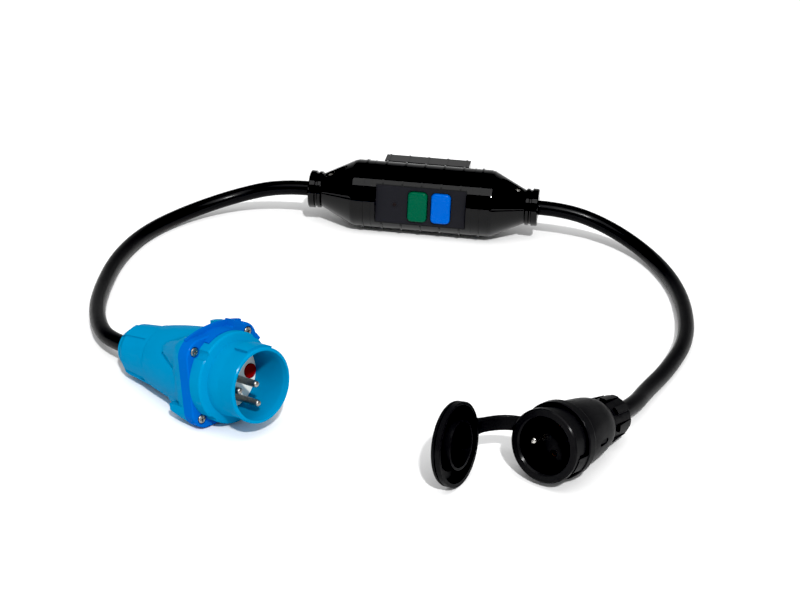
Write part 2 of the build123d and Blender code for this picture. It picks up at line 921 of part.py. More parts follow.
with BuildPart() as flange:
    with BuildSketch(plug):
        RectangleRounded(2 * flange_half, 2 * flange_half, flange_corner)
    extrude(amount=-flange_thickness)
    fillet(flange.faces().sort_by(axis_of(plug))[-1].edges(), flange_round)
    with BuildSketch(plug.offset(hood_front)):
        add(ring_sector(base_radius + fit, hood_radius, hood_from, hood_to))
    extrude(amount=-hood_front - flange_thickness)
    with BuildSketch(plug):
        add(ring_sector(base_radius, latch_radius, latch_from, latch_to))
    extrude(amount=-flange_thickness)
    with BuildSketch(plug.offset(-flange_thickness)):
        with BuildLine():
            ThreePointArc((-ridge_half, flange_half), (0, ridge_top), (ridge_half, flange_half))
            Polyline(
                (-ridge_half, flange_half),
                (-plug_screw_place, gasket_radius),
                (plug_screw_place, gasket_radius),
                (ridge_half, flange_half),
            )
        make_face()
    extrude(amount=ridge_depth)
    with BuildSketch(plug):
        with BuildLine():
            Polyline(*hook_outline, close=True)
        make_face()
    extrude(amount=-flange_thickness)
    with BuildSketch(plug):
        Circle(casing_radius + fit)
        with Locations(*corner_places):
            Circle(plug_screw_radius + fit)
    extrude(amount=-flange_thickness, mode=Mode.SUBTRACT)
    with BuildSketch(plug):
        with Locations(*corner_places):
            Circle(plug_head_bore)
    extrude(amount=-plug_head_sink, mode=Mode.SUBTRACT)
finish(flange, "plug_flange")

with BuildPart() as casing:
    add(turned(plug, [
        (-flange_thickness, shroud_bore),
        (-flange_thickness, casing_radius),
        (0, casing_radius),
        (0, base_radius),
        (base_height - base_round, base_radius),
        (base_height, base_radius - base_round),
        (shoulder_station, shoulder_radius),
        (key_back, shroud_radius),
        (rim_back, shroud_radius),
        (rim_back + rim_round, rim_radius),
        (rim_front - rim_round, rim_radius),
        (rim_front, rim_radius - rim_round),
        (rim_front, mouth_radius),
        (rim_back, shroud_bore),
    ]))
    with BuildSketch(plug.offset(key_back)):
        add(ring_sector(shroud_radius - wall / 2, key_radius, key_from, key_to))
    extrude(amount=key_front - key_back)
    with BuildSketch(plug):
        with Locations(*corner_places):
            Circle(scallop_radius)
    extrude(amount=base_height, mode=Mode.SUBTRACT)
finish(casing, "plug_casing")

with BuildPart() as insulator:
    with BuildSketch(plug.offset(insulator_face)):
        Circle(shroud_bore - fit)
        with Locations(*pin_places.values()):
            Circle(pin_root_radius + fit / 2, mode=Mode.SUBTRACT)
        with Locations((disc_x, disc_y)):
            Circle(disc_radius - disc_rim, mode=Mode.SUBTRACT)
    extrude(amount=insulator_back - insulator_face)
    chamfer(insulator.edges().group_by(axis_of(plug))[-1], insulator_edge)
finish(insulator, "plug_insulator")

for pin_name, pin_place in pin_places.items():
    with BuildPart() as pin:
        with BuildSketch(plug.offset(pin_back)):
            with Locations(pin_place):
                Circle(pin_root_radius)
        extrude(amount=insulator_face + 2 * fit - pin_back)
        with BuildSketch(plug.offset(insulator_face + 2 * fit)):
            with Locations(pin_place):
                Circle(pin_radius)
        extrude(amount=pin_tip - insulator_face - 2 * fit)
        fillet(pin.edges().group_by(axis_of(plug))[-1], pin_radius * 0.8)
    finish(pin, f"plug_{pin_name}_pin")

with BuildPart() as disc:
    with BuildSketch(plug.offset(insulator_face)):
        with Locations((disc_x, disc_y)):
            Circle(disc_radius)
    extrude(amount=disc_height)
    chamfer(disc.edges().group_by(axis_of(plug))[-1], disc_edge)
    with BuildSketch(plug.offset(insulator_face)):
        with Locations((disc_x, disc_y)):
            Circle(disc_radius - disc_rim - fit)
    extrude(amount=-disc_root)
finish(disc, "plug_coding_disc")

plug_screws = cross_screws(
    plug.offset(-plug_head_sink),
    corner_places,
    plug_head_radius,
    plug_head_height,
    plug_screw_radius,
    plug_screw_length,
)
finish(plug_screws, "plug_screws")

with BuildPart() as plug_terminals:
    with BuildSketch(plug.offset(insulator_back)):
        with Locations(*pin_places.values()):
            Rectangle(clamp_block, clamp_block)
            Circle(pin_root_radius + fit / 2, mode=Mode.SUBTRACT)
    extrude(amount=pin_back - insulator_back)
finish(plug_terminals, "plug_terminals")

core_side = core_circle * cos(pi / 6)
plug_cores = {
    "earth": (0, -core_circle),
    "line": (core_side, core_circle / 2),
    "neutral": (-core_side, core_circle / 2),
}
with BuildPart() as plug_tail:
    with BuildSketch(plug.offset(handle_neck_back)):
        Circle(cord_radius)
    extrude(amount=plug_sheath_length)
    for pin_name, pin_place in pin_places.items():
        start = plug.from_local_coords((*plug_cores[pin_name], handle_neck_back + plug_sheath_length))
        end = plug.from_local_coords((*pin_place, pin_back - core_gap))
        add(rod(start, end, core_radius - fit))
finish(plug_tail, "plug_cord_tail")


# Socket
with BuildPart() as socket_front:
    add(turned(socket, [
        (insert_back, socket_mouth_radius),
        (insert_back, socket_skirt_radius),
        (band_back, socket_skirt_radius),
        (band_back, socket_front_radius),
        (-socket_rim_depth - socket_edge, socket_front_radius),
        (-socket_rim_depth, socket_rim_radius),
        (-socket_edge, socket_rim_radius),
        (0, socket_rim_radius - socket_edge),
        (0, socket_mouth_radius + mouth_edge),
        (-mouth_edge, socket_mouth_radius),
    ]))
    with BuildSketch(socket.offset(band_front + fit)):
        add(ring_sector(socket_skirt_radius, pad_radius, pad_from, pad_to))
    extrude(amount=-socket_rim_depth - band_front - fit)
finish(socket_front, "socket_front")

with BuildPart() as rear_body:
    with BuildSketch(lengthwise(socket)):
        with BuildLine():
            back_curve = Spline(*rear_profile)
            Polyline(
                back_curve @ 1,
                (rear_end_station, socket_neck_radius),
                (socket_neck_back, socket_neck_radius),
                (socket_neck_back, socket_neck_bore),
                (rear_end_station + 6, socket_neck_bore),
                (insert_back - 4, rear_cavity_radius),
                (insert_back - fit, rear_cavity_radius),
                (insert_back - fit, socket_skirt_radius + fit),
                (band_back - fit, socket_skirt_radius + fit),
                back_curve @ 0,
            )
        make_face()
    revolve(axis=axis_of(socket))
    slot_centre = socket.from_local_coords((slot_side, 0, slot_station))
    with BuildSketch(Plane(origin=slot_centre, x_dir=socket.z_dir, z_dir=socket.x_dir)):
        SlotOverall(slot_length, slot_width)
    extrude(amount=band_radius - slot_side, mode=Mode.SUBTRACT)
finish(rear_body, "socket_rear_body")

contact_places = [(0, -contact_spread), (0, contact_spread)]
with BuildPart() as insert:
    with BuildSketch(socket.offset(-recess_depth)):
        Circle(socket_mouth_radius - fit)
        with Locations(*contact_places):
            Circle(contact_bore, mode=Mode.SUBTRACT)
        with Locations((earth_side, 0)):
            Circle(earth_root_radius + fit / 2, mode=Mode.SUBTRACT)
    extrude(amount=insert_back + recess_depth)
    with BuildSketch(socket.offset(-recess_depth - insert_face)):
        with Locations(*contact_places):
            Circle(contact_radius + fit)
    extrude(amount=insert_back + recess_depth + insert_face, mode=Mode.SUBTRACT)
finish(insert, "socket_insert")

for contact_name, contact_place in zip(("lower", "upper"), contact_places):
    with BuildPart() as contact:
        with BuildSketch(socket.offset(-recess_depth - insert_face - fit)):
            with Locations(contact_place):
                Circle(contact_radius)
                Circle(contact_bore, mode=Mode.SUBTRACT)
                Rectangle(2 * contact_radius, contact_slit, mode=Mode.SUBTRACT)
        extrude(amount=-contact_length)
        with BuildSketch(socket.offset(-recess_depth - insert_face - fit - contact_length)):
            with Locations(contact_place):
                Circle(contact_radius)
        extrude(amount=-contact_root)
    finish(contact, f"socket_{contact_name}_contact")

with BuildPart() as earth_pin:
    with BuildSketch(socket.offset(insert_back)):
        with Locations((earth_side, 0)):
            Circle(earth_root_radius)
    extrude(amount=2 * fit - recess_depth - insert_back)
    with BuildSketch(socket.offset(2 * fit - recess_depth)):
        with Locations((earth_side, 0)):
            Circle(earth_radius)
    extrude(amount=earth_tip - 2 * fit + recess_depth)
    fillet(earth_pin.edges().group_by(axis_of(socket))[-1], earth_radius * 0.8)
finish(earth_pin, "socket_earth_pin")

with BuildPart() as band:
    with BuildSketch(socket.offset(band_back)):
        Circle(band_radius)
        Circle(socket_front_radius + fit, mode=Mode.SUBTRACT)
    extrude(amount=band_front - band_back)
    outer_edges = band.edges().filter_by(GeomType.CIRCLE).sort_by(SortBy.RADIUS)[-2:]
    fillet(outer_edges, band_round)
finish(band, "socket_lid_band")

with BuildPart() as socket_nut:
    add(turned(socket, [
        (rear_end_station, socket_neck_radius + fit),
        (rear_end_station, socket_nut_radius),
        (socket_nut_back + socket_nut_edge, socket_nut_radius),
        (socket_nut_back, socket_nut_radius - socket_nut_edge),
        (socket_nut_back, cord_radius + 5 * fit),
        (socket_nut_back + socket_nut_end, cord_radius + 5 * fit),
        (socket_nut_back + socket_nut_end, socket_neck_radius + fit),
    ]))
    with BuildSketch(socket.offset(socket_nut_back + socket_nut_edge)):
        with PolarLocations(socket_nut_radius, lobes):
            RectangleRounded(2 * (lobe_radius - socket_nut_radius), lobe_width, lobe_round)
        Circle(socket_neck_radius + wall / 2, mode=Mode.SUBTRACT)
    extrude(amount=lobe_length)
    add(turned(socket, [
        (rear_end_station, lobe_radius),
        (socket_nut_back, lobe_back_radius),
        (socket_nut_back, 2 * lobe_radius),
        (rear_end_station, 2 * lobe_radius),
    ]), mode=Mode.SUBTRACT)
finish(socket_nut, "socket_gland_nut")

with BuildPart() as socket_seal:
    add(turned(socket, [
        (socket_neck_back - fit, 0),
        (socket_neck_back - fit, socket_neck_radius - fit),
        (socket_nut_back + socket_nut_end + fit, socket_neck_radius - fit),
        (socket_nut_back + socket_nut_end + fit, cord_radius + 3 * fit),
        (socket_seal_back, cord_radius + 3 * fit),
        (socket_seal_back, 0),
    ]))
finish(socket_seal, "socket_cord_seal")

socket_ends = [(0, -contact_spread), (0, contact_spread), (earth_side, 0)]
socket_cores = [(core_circle / 2, -core_side), (core_circle / 2, core_side), (-core_circle, 0)]
with BuildPart() as socket_tail:
    with BuildSketch(socket.offset(socket_neck_back)):
        Circle(cord_radius)
    extrude(amount=socket_sheath_length)
    for core_place, core_end in zip(socket_cores, socket_ends):
        start = socket.from_local_coords((*core_place, socket_neck_back + socket_sheath_length))
        end = socket.from_local_coords((*core_end, insert_back - core_gap))
        add(rod(start, end, core_radius - fit))
finish(socket_tail, "socket_cord_tail")

with BuildPart() as lid:
    with BuildSketch(lengthwise(lid_frame)) as lid_half:
        with BuildLine():
            Polyline(
                (-lid_thickness, 0),
                (-lid_thickness, lid_radius),
                (lid_groove, lid_radius),
                (lid_groove, lid_radius - lid_groove_depth),
                (lid_groove + lid_groove_width, lid_radius - lid_groove_depth),
                (lid_groove + lid_groove_width, lid_radius),
                (0, lid_radius),
                (0, lid_wall_radius),
                (lid_floor, lid_wall_radius),
                (lid_floor, spigot_root),
                (spigot_proud, spigot_tip),
                (spigot_proud, spigot_tip - spigot_wall),
                (lid_floor, spigot_tip - spigot_wall),
                (lid_floor, 0),
                close=True,
            )
        make_face()
        back_corner = lid_half.vertices().sort_by(Axis.X)[:2].sort_by(Axis.Y)[-1]
        fillet(back_corner, lid_round)
    revolve(axis=axis_of(lid_frame))
finish(lid, "socket_lid")

with BuildPart() as strap:
    with BuildSketch(Plane.XY.offset(strap_z - strap_height / 2)):
        with BuildLine():
            ThreePointArc(strap_lid_end, strap_middle, strap_band_end)
        trace(line_width=strap_thickness)
    extrude(amount=strap_height)
    add(turned(lid_frame, [
        (-lid_radius, 0),
        (-lid_radius, lid_radius + 2 * fit),
        (lid_radius, lid_radius + 2 * fit),
        (lid_radius, 0),
    ]), mode=Mode.SUBTRACT)
    add(turned(socket, [
        (-2 * band_radius, 0),
        (-2 * band_radius, band_radius + 2 * fit),
        (0, band_radius + 2 * fit),
        (0, 0),
    ]), mode=Mode.SUBTRACT)
finish(strap, "lid_strap")


# Cords
def arc_radii(route):
    """For each corner, the largest arc that its two runs allow."""
    points = [Vector(*point) for point in route]
    radii = []
    for before, corner, after in zip(points, points[1:], points[2:]):
        turn = radians((corner - before).get_angle(after - corner))
        shorter = min((corner - before).length, (after - corner).length)
        radii.append(0.45 * shorter / tan(turn / 2))
    return radii


def tube(route, name):
    """The cord along a route: straight runs joined by tangent arcs."""
    radii = arc_radii(route)
    with BuildPart() as cord:
        with BuildLine() as path:
            FilletPolyline(*route, radius=radii)
        centre_line = path.wire()
        with BuildSketch(Plane(origin=centre_line @ 0, z_dir=centre_line % 0)):
            Circle(cord_radius)
        sweep()
    length = centre_line.length
    expected = pi * cord_radius**2 * length
    print(name, "radii", [round(radius) for radius in radii], "length", round(length))
    print(name, "volume over section times length", round(cord.part.volume / expected, 4))
    finish(cord, name)


for route, frame, station, last_run, name in (
    (left_route, plug, plug_seal_back, left_last_run, "left_cord"),
    (right_route, socket, socket_seal_back, right_last_run, "right_cord"),
):
    ends = [frame.offset(station - last_run).origin, frame.offset(station).origin]
    tube([*route, *ends], name)
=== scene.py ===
import json
from math import cos, pi, radians, sin

import bmesh
import bpy
from mathutils import Matrix, Vector

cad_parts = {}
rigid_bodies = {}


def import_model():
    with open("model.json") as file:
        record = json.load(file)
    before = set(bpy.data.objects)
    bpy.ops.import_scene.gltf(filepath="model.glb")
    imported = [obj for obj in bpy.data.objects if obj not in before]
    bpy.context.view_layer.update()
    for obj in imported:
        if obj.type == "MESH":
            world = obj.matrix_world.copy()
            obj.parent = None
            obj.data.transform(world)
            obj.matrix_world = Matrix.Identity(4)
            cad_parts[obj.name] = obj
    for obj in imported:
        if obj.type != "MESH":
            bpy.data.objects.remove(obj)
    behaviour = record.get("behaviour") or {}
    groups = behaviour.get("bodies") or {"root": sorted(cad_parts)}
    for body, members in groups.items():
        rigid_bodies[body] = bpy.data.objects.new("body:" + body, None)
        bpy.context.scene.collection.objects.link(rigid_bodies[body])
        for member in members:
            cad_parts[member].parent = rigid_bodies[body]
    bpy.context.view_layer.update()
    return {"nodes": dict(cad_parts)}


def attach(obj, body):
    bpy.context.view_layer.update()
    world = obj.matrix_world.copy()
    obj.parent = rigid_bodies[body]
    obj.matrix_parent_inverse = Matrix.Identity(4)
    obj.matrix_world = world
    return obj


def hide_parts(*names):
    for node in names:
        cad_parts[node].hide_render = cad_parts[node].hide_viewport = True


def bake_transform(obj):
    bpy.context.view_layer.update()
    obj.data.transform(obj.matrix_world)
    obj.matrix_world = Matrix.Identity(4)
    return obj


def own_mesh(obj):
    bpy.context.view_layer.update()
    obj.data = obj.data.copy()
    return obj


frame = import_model()
nodes = frame["nodes"]

bl_info = {
    "name": "Extension lead with in-line protection",
    "version": (1, 0, 0),
    "blender": (4, 5, 0),
    "location": "View3D > Sidebar > Lead",
    "description": "Cords, finishes and stage of an extension lead with an in-line residual current device",
    "category": "Object",
}

MM = 0.001

# The plug's origin, and the heading and upward tilt of the plug and the socket, as in the CAD source
PLUG_ORIGIN = Vector((-96.6, -374.0, 34.05)) * MM
PLUG_HEADING, PLUG_TILT = 54.2, 8.6
SOCKET_HEADING, SOCKET_TILT = -28.9, 8.7

# Routes of the cords, the control points of one smooth curve each
LEFT_ROUTE = (
    (-100, -0.77, 30),
    (-126, -0.8, 30),
    (-164, -3, 19),
    (-203, -26, 9),
    (-230, -72, 6.5),
    (-239.5, -128, 6.5),
    (-237, -185, 7),
    (-229, -236, 10),
    (-213.3, -280.5, 13.4),
    (-196.44, -301.99, 15.43),
    (-177.2, -315.87, 19.02),
)
RIGHT_ROUTE = (
    (100, -0.77, 30),
    (124, -0.8, 30),
    (160, -3, 19.5),
    (195, -28, 9),
    (219, -78, 6.5),
    (230, -136, 6.5),
    (230.5, -193, 6.5),
    (217, -245, 6.5),
    (201, -289, 9),
    (192.46, -321.26, 12.09),
    (178.13, -347.22, 16.63),
)
LEFT_LENGTH, RIGHT_LENGTH = 0.427, 0.439


class LeadSizes(bpy.types.PropertyGroup):
    cord_diameter: bpy.props.FloatProperty(
        name="Cord diameter",
        description="Outside diameter of both cords' sheaths",
        default=0.0127,
        unit="LENGTH",
    )
    strap_height: bpy.props.FloatProperty(
        name="Strap height",
        description="Width of the lid's rubber strap, which stands on edge",
        default=0.0116,
        unit="LENGTH",
    )
    strap_thickness: bpy.props.FloatProperty(
        name="Strap thickness",
        description="Thickness of the lid's strap between its beaded edges",
        default=0.0018,
        unit="LENGTH",
    )


def colour_setting(label, text, value):
    return bpy.props.FloatVectorProperty(
        name=label, description=text, default=value, subtype="COLOR", size=3, min=0, max=1
    )


class LeadColours(bpy.types.PropertyGroup):
    shell: colour_setting("Shell", "Polished black of the device's shells", (0.0015, 0.0015, 0.0017))
    plate: colour_setting("Label plate", "Satin dark grey of the label plate", (0.0125, 0.0125, 0.0150))
    cord: colour_setting("Cord", "Black of the cords' sheaths", (0.0045, 0.0045, 0.0050))
    rubber: colour_setting("Rubber", "Black of the socket, its lid and its strap", (0.0085, 0.0085, 0.0090))
    reset: colour_setting("Reset button", "Green of the reset button", (0.0005, 0.072, 0.034))
    test: colour_setting("Test button", "Blue of the test button", (0.0005, 0.085, 0.42))
    light_blue: colour_setting("Light blue", "Blue of the plug's casing and handle", (0.0002, 0.20, 0.40))
    deep_blue: colour_setting("Deep blue", "Blue of the plug's flange", (0.0003, 0.10, 0.42))
    carrier: colour_setting("Pin carrier", "Off-white of the plug's pin carrier", (0.90, 0.87, 0.76))
    disc: colour_setting("Coding disc", "Dark red of the disc beside the pins", (0.24, 0.001, 0.003))
    floor: colour_setting("Floor", "Pale floor that the lead lies on", (0.92, 0.92, 0.92))


class Shade:
    """A socket in a material's nodes. Python's sums and products of it add the nodes that work them out."""

    def __init__(self, tree, socket=None):
        self.tree = tree
        self.socket = socket

    def node(self, kind, settings=(), inputs=(), output=0):
        """Adds a node of any type, its settings first and then its sockets' values or links."""
        made = self.tree.nodes.new(kind)
        for name, value in dict(settings).items():
            setattr(made, name, value)
        feed(made, dict(inputs))
        return Shade(self.tree, made.outputs[output])

    def worked(self, operation, first, second):
        """Works out an operation on two values, as vectors where one of them is a vector."""
        kinds = {value.socket.type for value in (first, second) if isinstance(value, Shade)}
        kind = "ShaderNodeVectorMath" if "VECTOR" in kinds else "ShaderNodeMath"
        return self.node(kind, {"operation": operation}, {0: first, 1: second})

    def __add__(self, other):
        return self.worked("ADD", self, other)

    def __sub__(self, other):
        return self.worked("SUBTRACT", self, other)

    def __mul__(self, other):
        return self.worked("MULTIPLY", self, other)

    def __rsub__(self, other):
        return self.worked("SUBTRACT", other, self)

    def between(self, low, high):
        """0 below low and 1 above high, with a soft change."""
        limits = {"Value": self, "From Min": low, "From Max": high}
        return self.node("ShaderNodeMapRange", {"interpolation_type": "SMOOTHSTEP"}, limits)

    def along(self, direction):
        """How far this place lies along a direction."""
        return self.node(
            "ShaderNodeVectorMath", {"operation": "DOT_PRODUCT"}, {0: self, 1: direction}, 1
        )


def mixed(share, first, second):
    """The first colour, or the second one where share is 1."""
    return share.node("ShaderNodeMix", {"data_type": "RGBA"}, {0: share, 6: first, 7: second}, 2)


def new_finish(name):
    """A material with its shader, and the place on the object to paint by, in metres."""
    made = bpy.data.materials.new(name)
    made.use_nodes = True
    tree = made.node_tree
    tree.nodes.clear()
    shader = tree.nodes.new("ShaderNodeBsdfPrincipled")
    output = tree.nodes.new("ShaderNodeOutputMaterial")
    tree.links.new(shader.outputs[0], output.inputs[0])
    place = Shade(tree).node("ShaderNodeTexCoord", output=3)
    return made, shader, place


def noise(place, size, detail=2.0, rough=0.5):
    """Cloudy variation from 0 to 1 whose patches are about size metres across."""
    sockets = {"Vector": place, "Scale": 1 / size, "Detail": detail, "Roughness": rough}
    return place.node("ShaderNodeTexNoise", inputs=sockets)


def bumped(height, depth):
    """A normal from a height of 0 to 1 that stands for depth metres."""
    return height.node("ShaderNodeBump", inputs={"Distance": depth, "Height": height})


def feed(node, sockets):
    """Sets a node's sockets: values as they are, and links for what varies."""
    for name, value in sockets.items():
        if isinstance(value, Shade):
            value.tree.links.new(value.socket, node.inputs[name])
        else:
            node.inputs[name].default_value = value


PLASTIC_IOR = 1.5
COAT_ROUGHNESS = 0.2
DUST = (0.22, 0.21, 0.20, 1.0)
# Sizes of the slow patches, the hands' smears, the dust's specks and the tool's ripple, in metres
PATCH_SIZE, SMEAR_SIZE, SPECK_SIZE, RIPPLE_SIZE = 0.018, 0.006, 0.0011, 0.007
SMEAR_STRETCH = (1.0, 1.0, 2.2)
# Where in the noise the smears and specks begin and where they are full
SMEAR_LEVELS, SPECK_LEVELS = (0.45, 0.75), (0.71, 0.78)
# How dark and how light the patches make the colour, and the spread of roughness over them
PATCH_DARK, PATCH_LIGHT, PATCH_SPREAD = 0.93, 1.07, 0.04
# The ripple's share of the surface's height, beside the grain's, and the share of the coat that
# a smear wears off
RIPPLE_SHARE, COAT_WORN = 0.2, 0.4


def moulding(name, colour, roughness, grain, handled=0.06, dust=0.0, gloss=0.2, coat=0.0):
    """Moulded plastic with handling marks and dust. Its grain is given as a size and a depth."""
    made, shader, place = new_finish(name)
    grain_size, grain_depth = grain
    clouds = noise(place, PATCH_SIZE, 3)
    smears = noise(place * SMEAR_STRETCH, SMEAR_SIZE, 4, 0.6).between(*SMEAR_LEVELS)
    base = mixed(clouds, tone(colour, PATCH_DARK), tone(colour, PATCH_LIGHT))
    if dust:
        specks = noise(place, SPECK_SIZE, 1).between(*SPECK_LEVELS) * clouds
        base = mixed(specks * dust, base, DUST)
    grained = noise(place, grain_size, 2) * (1 - RIPPLE_SHARE)
    surface = grained + noise(place, RIPPLE_SIZE, 1) * RIPPLE_SHARE
    feed(
        shader,
        {
            "Base Color": base,
            "Roughness": smears * handled + (clouds * PATCH_SPREAD + (roughness - PATCH_SPREAD / 2)),
            "Normal": bumped(surface, grain_depth),
            "IOR": PLASTIC_IOR,
            "Specular IOR Level": gloss,
            "Coat Weight": (1 - smears * COAT_WORN) * coat,
            "Coat Roughness": COAT_ROUGHNESS,
        },
    )
    return made


def tone(colour, factor):
    """A colour made lighter or darker by a factor, with its alpha."""
    return tuple(min(1.0, part * factor) for part in colour) + (1.0,)


# The share of a place's distance along the axis that is left out, which draws the noise out into
# lines, and the lines' width and depth in metres
DRAWN, LINE_SIZE, LINE_DEPTH = 0.96, 0.0003, 0.00001
# The dull patches on metal: their size in metres, where in the noise they begin and are full, and
# how dark they are
DULL_SIZE, DULL_LEVELS, DULL_TONE = 0.004, (0.4, 0.7), 0.78
# How much rougher than bright metal the lines and the dull patches are
LINE_ROUGHNESS, DULL_ROUGHNESS = 0.12, 0.1


def plated(name, colour, axis, roughness):
    """Plated metal, turned or drawn along an axis, with fine lines along it and duller patches."""
    made, shader, place = new_finish(name)
    station = place.along(axis)
    drawn = place - place.node(
        "ShaderNodeVectorMath", {"operation": "SCALE"}, {0: axis, "Scale": station * DRAWN}
    )
    lines = noise(drawn, LINE_SIZE, 2)
    patches = noise(place, DULL_SIZE, 3).between(*DULL_LEVELS)
    feed(
        shader,
        {
            "Base Color": mixed(patches, tone(colour, 1.0), tone(colour, DULL_TONE)),
            "Metallic": 1.0,
            "Roughness": lines * LINE_ROUGHNESS + (patches * DULL_ROUGHNESS + roughness),
            "Normal": bumped(lines, LINE_DEPTH),
        },
    )
    return made


SHEATH_DEPTH, SHEATH_GLOSS, SHEATH_COAT = 0.00004, 0.03, 0.14
# Sizes of the sheath's grain, slow waves and scuffs, in metres, and where in the noise the scuffs
# begin and are full
SHEATH_GRAIN, WAVE_SIZE, SCUFF_SIZE, SCUFF_LEVELS = 0.0005, 0.012, 0.004, (0.52, 0.72)
# The sheath's roughness, and how much rougher its waves and scuffs are
SHEATH_ROUGHNESS, WAVE_ROUGHNESS, SCUFF_ROUGHNESS = 0.34, 0.06, 0.08
# How dark the sheath is, how pale a full scuff would be, and how far the scuffs go
SHEATH_TONE, SCUFF_TONE, SCUFFED = 0.9, 1.5, 0.5


def sheath(name, colour):
    """Satin cord sheath with a fine grain, slow waves and pale scuffs."""
    made, shader, place = new_finish(name)
    grain = noise(place, SHEATH_GRAIN, 2)
    waves = noise(place, WAVE_SIZE, 2)
    scuffs = noise(place, SCUFF_SIZE, 4, 0.65).between(*SCUFF_LEVELS)
    dark, pale = tone(colour, SHEATH_TONE), tone(colour, SCUFF_TONE)
    feed(
        shader,
        {
            "Base Color": mixed(scuffs * SCUFFED, dark, pale),
            "Roughness": scuffs * SCUFF_ROUGHNESS + (waves * WAVE_ROUGHNESS + SHEATH_ROUGHNESS),
            "Normal": bumped(grain * 0.5 + waves * 0.5, SHEATH_DEPTH),
            "IOR": PLASTIC_IOR,
            "Specular IOR Level": SHEATH_GLOSS,
            "Coat Weight": (1 - scuffs * SCUFFED) * SHEATH_COAT,
            "Coat Roughness": COAT_ROUGHNESS,
        },
    )
    return made


def connector_axes(heading, tilt):
    """The side, up and forward directions of a connector that faces heading, nose up by tilt."""
    turn, nose = radians(heading), radians(tilt)
    forward = Vector((sin(turn) * cos(nose), -cos(turn) * cos(nose), sin(nose)))
    side = Vector((cos(turn), sin(turn), 0))
    return side, forward.cross(side), forward


PLUG_SIDE, PLUG_UP, PLUG_FORWARD = connector_axes(PLUG_HEADING, PLUG_TILT)
SOCKET_FORWARD = connector_axes(SOCKET_HEADING, SOCKET_TILT)[2]


def dress(finish, *names):
    """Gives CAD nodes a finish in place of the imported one."""
    for name in names:
        mesh = nodes[name].data
        mesh.materials.clear()
        mesh.materials.append(finish)


def names_with(start):
    return [name for name in nodes if name.startswith(start)]


class LEAD_OT_stage(bpy.types.Operator):
    """Sets the camera, the floor and the lights"""

    bl_idname = "lead.stage"
    bl_label = "Camera, floor and lights"

    def execute(self, context):
        make_camera(context.scene)
        make_floor(context.scene.lead_colours.floor)
        make_lights(context.scene)
        set_exposure(context.scene.view_settings)
        return {"FINISHED"}


BLACK_POINT = 0.011


def set_exposure(settings):
    """Shows colours as a studio photograph does, with its darkest tones pressed to black."""
    settings.view_transform = "Standard"
    settings.use_curve_mapping = True
    settings.curve_mapping.black_level = (BLACK_POINT,) * 3
    settings.curve_mapping.update()


# The camera fitted to the photograph: its place and its near and far limits in metres, its turn
# and tilt in degrees, and its lens and sensor in millimetres
CAMERA_PLACE = Vector((0.17330, -1.64277, 0.69744))
CAMERA_HEADING, CAMERA_DROP, CAMERA_ROLL = 6.6198, 24.8942, 2.3343
CAMERA_LENS, CAMERA_SENSOR = 91.972, 36
CAMERA_NEAR, CAMERA_FAR = 0.05, 20


def make_camera(scene):
    lens = bpy.data.cameras.new("camera")
    lens.lens = CAMERA_LENS
    lens.sensor_width = CAMERA_SENSOR
    lens.clip_start, lens.clip_end = CAMERA_NEAR, CAMERA_FAR
    camera = bpy.data.objects.new("camera", lens)
    turn = (
        Matrix.Rotation(radians(CAMERA_HEADING), 4, "Z")
        @ Matrix.Rotation(radians(90 - CAMERA_DROP), 4, "X")
        @ Matrix.Rotation(radians(CAMERA_ROLL), 4, "Z")
    )
    camera.matrix_world = Matrix.Translation(CAMERA_PLACE) @ turn
    scene.collection.objects.link(camera)
    scene.camera = camera


# Half the floor's width, and the size of its slow patches, in metres
FLOOR_HALF, FLOOR_PATCH = 4.0, 0.3
# How dark the floor is between its patches, its roughness there, how much rougher a patch is, and
# its gloss
FLOOR_TONE, FLOOR_ROUGHNESS, FLOOR_SPREAD, FLOOR_GLOSS = 0.985, 0.75, 0.05, 0.2


def make_floor(colour):
    mesh = bpy.data.meshes.new("floor")
    corners = [(x * FLOOR_HALF, y * FLOOR_HALF, 0) for x, y in ((-1, -1), (1, -1), (1, 1), (-1, 1))]
    mesh.from_pydata(corners, [], [(0, 1, 2, 3)])
    floor = bpy.data.objects.new("floor", mesh)
    bpy.context.scene.collection.objects.link(floor)
    made, shader, place = new_finish("pale_floor")
    patches = noise(place, FLOOR_PATCH, 2)
    base = mixed(patches, tone(colour, FLOOR_TONE), tone(colour, 1.0))
    roughness = patches * FLOOR_SPREAD + FLOOR_ROUGHNESS
    feed(shader, {"Base Color": base, "Roughness": roughness, "Specular IOR Level": FLOOR_GLOSS})
    mesh.materials.append(made)


LOOK_AT = Vector((0.0, -0.18, 0.03))
# The key's turn from the camera's side, its elevation and its width, in degrees, and its strength
KEY_TURN, KEY_LIFT, KEY_WIDTH, KEY_STRENGTH = 16.6, 44, 3.0, 2.8
KEY_DISTANCE = 2
# The soft strip overhead: its turn and elevation, its distance and size in metres, and its watts
STRIP_TURN, STRIP_LIFT, STRIP_DISTANCE = 6, 66, 1.5
STRIP_WIDTH, STRIP_HEIGHT, STRIP_POWER = 1.45, 0.75, 7.5
# The room's light on surfaces, and its faint glow in reflections
FILL, ROOM_GLOW = 0.55, 0.04
# The pale backdrop behind the lead, seen only in reflections, and where it fades in and out
BACKDROP = 0.52
BACKDROP_BEHIND = (0.1, 0.8)
BACKDROP_FADE = (0.1, 0.75)


def hang(scene, lamp, turn, lift, distance):
    """Puts a lamp in the scene, facing the lead from a turn and an elevation."""
    light = bpy.data.objects.new(lamp.name, lamp)
    turned, lifted = radians(turn), radians(lift)
    away = Vector((sin(turned) * cos(lifted), -cos(turned) * cos(lifted), sin(lifted)))
    facing = away.to_track_quat("Z", "Y").to_matrix().to_4x4()
    light.matrix_world = Matrix.Translation(LOOK_AT + away * distance) @ facing
    scene.collection.objects.link(light)


